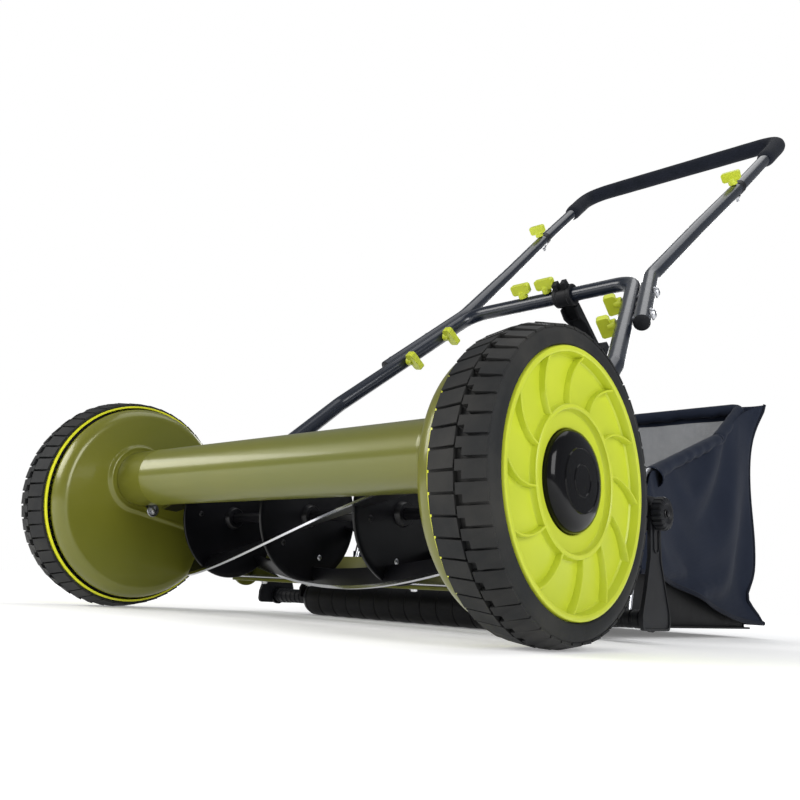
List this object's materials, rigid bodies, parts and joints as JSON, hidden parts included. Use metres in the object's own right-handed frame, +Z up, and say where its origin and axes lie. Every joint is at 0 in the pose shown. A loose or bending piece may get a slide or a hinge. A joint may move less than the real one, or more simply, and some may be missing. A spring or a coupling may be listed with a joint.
{
  "type": "push reel mower",
  "caption": "Hand-pushed reel lawn mower with large toothed-tread wheels, a front cross tube, a helical blade reel, a rear roller, a folding tube handle and a cloth grass catcher.",
  "frame": {"origin": "centre of the whole machine's footprint, on the ground", "axes": "+Y from the front of the mower to its rear, +X to the side whose wheel is nearer in the source view, +Z up"},
  "size_m": [0.672, 1.1589, 0.9583],
  "materials": {
    "lime_plastic": "semi-gloss lime",
    "olive_paint": "glossy olive paint",
    "tyre_rubber": "matte black rubber",
    "black_plastic": "satin black",
    "gloss_black_plastic": "glossy black",
    "black_paint": "glossy black paint",
    "black_tube": "glossy black coating",
    "steel": "bright zinc-plated steel",
    "foam": "matte closed-cell foam",
    "cloth": "dark woven nylon"
  },
  "bodies": {
    "frame": {"front_tube": "olive_paint", "bed_bar": "olive_paint", "bed_knife": "steel", "side_plate_right": "olive_paint", "reel_bearing_right": "steel", "stub_axle_right": "steel", "axle_nut_right": "steel", "rear_bracket_right": "black_paint", "pivot_bolt_right": "steel", "side_plate_left": "olive_paint", "reel_bearing_left": "steel", "stub_axle_left": "steel", "axle_nut_left": "steel", "rear_bracket_left": "black_paint", "pivot_bolt_left": "steel"},
    "wheel_right": {"tyre_right": "tyre_rubber", "rim_right": "lime_plastic", "ring_gear_right": "black_plastic", "hub_cap_right": "gloss_black_plastic"},
    "wheel_left": {"tyre_left": "tyre_rubber", "rim_left": "lime_plastic", "ring_gear_left": "black_plastic", "hub_cap_left": "gloss_black_plastic"},
    "reel": {"reel_shaft": "steel", "reel_disc_1": "black_paint", "reel_disc_2": "black_paint", "reel_disc_3": "black_paint", "reel_disc_4": "black_paint", "reel_blade_1": "black_paint", "reel_blade_2": "black_paint", "reel_blade_3": "black_paint", "reel_blade_4": "black_paint", "reel_blade_5": "black_paint"},
    "drive_pinion_right": {"pinion_right": "steel"},
    "drive_pinion_left": {"pinion_left": "steel"},
    "roller_carriage": {"roller_arm_right": "black_plastic", "roller_arm_left": "black_plastic", "roller_axle": "black_plastic"},
    "rear_roller": {"roller": "black_plastic"},
    "knob_right": {"height_knob_right": "black_plastic"},
    "knob_left": {"height_knob_left": "black_plastic"},
    "handle": {"lower_handle": "black_tube", "grip_tube": "black_tube", "foam_grip": "foam", "crossbar_knob_1": "lime_plastic", "crossbar_knob_2": "lime_plastic", "mid_tube_right": "black_tube", "joint_knob_right": "lime_plastic", "mid_tube_left": "black_tube", "joint_knob_left": "lime_plastic", "leg_knob_right_1": "lime_plastic", "leg_knob_right_2": "lime_plastic", "leg_knob_left_1": "lime_plastic", "leg_knob_left_2": "lime_plastic"},
    "hanger": {"hanger_clamp": "black_plastic", "hanger_strap": "black_plastic"},
    "catcher": {"catcher_pan": "black_plastic", "catcher_wire": "steel", "catcher_bag": "cloth"}
  },
  "joints": [
    {"name": "wheel_right_spin", "type": "hinge", "parent": "frame", "child": "wheel_right", "pos_m": [0, -0.4527, 0.127], "axis": [1, 0, 0], "continuous": true},
    {"name": "wheel_left_spin", "type": "hinge", "parent": "frame", "child": "wheel_left", "pos_m": [0, -0.4527, 0.127], "axis": [1, 0, 0], "continuous": true},
    {"name": "reel_spin", "type": "hinge", "parent": "frame", "child": "reel", "pos_m": [0, -0.35733, 0.116], "axis": [1, 0, 0], "continuous": true},
    {"name": "pinion_right_spin", "type": "hinge", "parent": "frame", "child": "drive_pinion_right", "pos_m": [0, -0.35733, 0.116], "axis": [1, 0, 0], "continuous": true},
    {"name": "pinion_left_spin", "type": "hinge", "parent": "frame", "child": "drive_pinion_left", "pos_m": [0, -0.35733, 0.116], "axis": [1, 0, 0], "continuous": true},
    {"name": "cut_height_slide", "type": "slide", "parent": "frame", "child": "roller_carriage", "axis": [0, 0, 1], "range_m": [0, 0.034]},
    {"name": "roller_spin", "type": "hinge", "parent": "roller_carriage", "child": "rear_roller", "pos_m": [0, -0.2127, 0.023], "axis": [1, 0, 0], "continuous": true},
    {"name": "height_knob_right_turn", "type": "hinge", "parent": "frame", "child": "knob_right", "pos_m": [0.28, -0.2097, 0.128], "axis": [1, 0, 0], "continuous": true},
    {"name": "height_knob_left_turn", "type": "hinge", "parent": "frame", "child": "knob_left", "pos_m": [-0.28, -0.2097, 0.128], "axis": [1, 0, 0], "continuous": true},
    {"name": "handle_tilt", "type": "hinge", "parent": "frame", "child": "handle", "pos_m": [0, -0.2877, 0.205], "axis": [1, 0, 0], "range_deg": [0, 49]},
    {"name": "hanger_swing", "type": "hinge", "parent": "handle", "child": "hanger", "pos_m": [0.031, 0.04336, 0.49177], "axis": [1, 0, 0], "range_deg": [-50, 0]},
    {"name": "catcher_lift", "type": "slide", "parent": "roller_carriage", "child": "catcher", "axis": [0, 0, 1], "range_m": [0, 0.1]}
  ],
  "couplings": [
    {"joint": "reel_spin", "follows": "wheel_right_spin", "ratio": 7},
    {"joint": "pinion_right_spin", "follows": "wheel_right_spin", "ratio": 7},
    {"joint": "pinion_left_spin", "follows": "wheel_left_spin", "ratio": 7}
  ]
}
